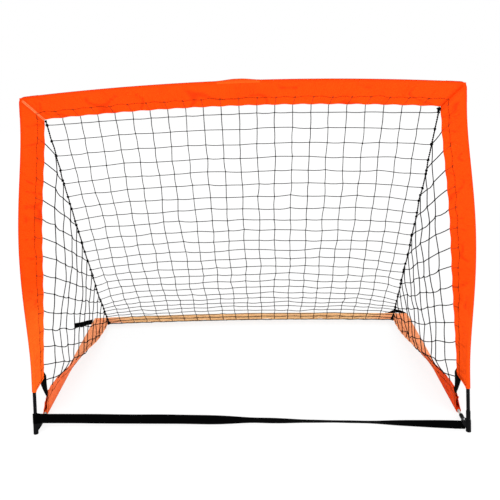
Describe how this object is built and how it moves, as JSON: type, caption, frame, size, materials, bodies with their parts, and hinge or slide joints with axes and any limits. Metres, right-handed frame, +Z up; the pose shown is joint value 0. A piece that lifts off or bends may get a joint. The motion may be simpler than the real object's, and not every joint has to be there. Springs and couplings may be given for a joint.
{
  "type": "folding soccer goal",
  "caption": "Small free-standing soccer goal: bowed rods in flat cloth sleeves carry a sloping net, and hubs and jointed bars let it fold to a slim bundle.",
  "frame": {"origin": "on the ground, at the middle of the goal's overall box in plan", "axes": "+Z up, +X to the right for someone facing the goal mouth, -Y out of the mouth toward that person"},
  "size_m": [1.2661, 0.824, 0.969],
  "materials": {
    "orange_cloth": "woven nylon",
    "black_net": "knotted twine",
    "black_webbing": "woven webbing",
    "black_plastic": "moulded",
    "glass_fibre": "pultruded",
    "zinc_steel": "zinc plated"
  },
  "bodies": {
    "base_left": {"base_rod_left": "glass_fibre", "base_sleeve_left": "orange_cloth", "base_fork_left": "black_plastic", "hub_rivet_left": "zinc_steel", "rear_corner_socket_left": "zinc_steel", "rear_corner_pin_left": "zinc_steel", "link_tab_left": "black_webbing", "rear_tie_left": "black_webbing"},
    "rear_left": {"rear_rod_left": "glass_fibre", "rear_sleeve_left": "orange_cloth", "rear_corner_leaf_left": "zinc_steel", "rear_centre_leaf_left": "zinc_steel", "rear_centre_pin": "zinc_steel"},
    "rear_right": {"rear_rod_right": "glass_fibre", "rear_sleeve_right": "orange_cloth", "rear_corner_leaf_right": "zinc_steel", "rear_centre_leaf_right": "zinc_steel"},
    "base_right": {"base_rod_right": "glass_fibre", "base_sleeve_right": "orange_cloth", "base_fork_right": "black_plastic", "hub_rivet_right": "zinc_steel", "rear_corner_socket_right": "zinc_steel", "rear_corner_pin_right": "zinc_steel", "link_tab_right": "black_webbing", "rear_tie_right": "black_webbing"},
    "post_left": {"post_rod_left": "glass_fibre", "post_leg_left": "black_plastic", "front_foot_left": "black_plastic", "post_sleeve_left": "orange_cloth", "top_corner_socket_left": "zinc_steel", "top_corner_pin_left": "zinc_steel", "side_net_left": "black_net", "net_edge_cord_left": "black_net", "ground_strap": "black_webbing"},
    "post_right": {"post_rod_right": "glass_fibre", "post_leg_right": "black_plastic", "front_foot_right": "black_plastic", "post_sleeve_right": "orange_cloth", "top_corner_socket_right": "zinc_steel", "top_corner_pin_right": "zinc_steel", "side_net_right": "black_net", "net_edge_cord_right": "black_net"},
    "crossbar_left": {"crossbar_rod_left": "glass_fibre", "crossbar_sleeve_left": "orange_cloth", "top_corner_leaf_left": "zinc_steel", "top_centre_leaf_left": "zinc_steel", "top_centre_pin": "zinc_steel", "back_net_left": "black_net"},
    "crossbar_right": {"crossbar_rod_right": "glass_fibre", "crossbar_sleeve_right": "orange_cloth", "top_corner_leaf_right": "zinc_steel", "top_centre_leaf_right": "zinc_steel", "back_net_right": "black_net"}
  },
  "joints": [
    {"name": "hub_left", "type": "hinge", "parent": "base_left", "child": "post_left", "pos_m": [-0.6, -0.38738, 0.022], "axis": [-1, 0, 0], "range_deg": [0, 80], "deforming": ["base_sleeve_left", "link_tab_left", "rear_sleeve_left", "rear_sleeve_right", "base_sleeve_right", "link_tab_right", "post_sleeve_left", "side_net_left", "net_edge_cord_left", "ground_strap", "post_sleeve_right", "side_net_right", "net_edge_cord_right", "crossbar_sleeve_left", "back_net_left", "crossbar_sleeve_right", "back_net_right"]},
    {"name": "rear_corner_left", "type": "hinge", "parent": "base_left", "child": "rear_left", "pos_m": [-0.5934, 0.36602, 0.0072], "axis": [0, 0, -1], "range_deg": [0, 88]},
    {"name": "rear_centre", "type": "hinge", "parent": "rear_left", "child": "rear_right", "pos_m": [0, 0.40402, 0.0072], "axis": [0, 0, 1], "range_deg": [0, 176]},
    {"name": "rear_corner_right", "type": "hinge", "parent": "rear_right", "child": "base_right", "pos_m": [0.5934, 0.36602, 0.0072], "axis": [0, 0, -1], "range_deg": [0, 88]},
    {"name": "hub_right", "type": "hinge", "parent": "base_right", "child": "post_right", "pos_m": [0.6, -0.38738, 0.022], "axis": [-1, 0, 0], "range_deg": [0, 80]},
    {"name": "top_corner_left", "type": "hinge", "parent": "post_left", "child": "crossbar_left", "pos_m": [-0.5934, -0.25877, 0.92348], "axis": [0, 0.9877, -0.1564], "range_deg": [0, 88]},
    {"name": "top_centre", "type": "hinge", "parent": "crossbar_left", "child": "crossbar_right", "pos_m": [0, -0.25283, 0.96101], "axis": [0, -0.9877, 0.1564], "range_deg": [0, 176]}
  ],
  "couplings": [
    {"joint": "hub_right", "follows": "hub_left", "ratio": 1},
    {"joint": "rear_corner_left", "follows": "hub_left", "ratio": 1.1},
    {"joint": "rear_centre", "follows": "hub_left", "ratio": 2.2},
    {"joint": "rear_corner_right", "follows": "hub_left", "ratio": 1.1},
    {"joint": "top_corner_left", "follows": "hub_left", "ratio": 1.1},
    {"joint": "top_centre", "follows": "hub_left", "ratio": 2.2}
  ]
}
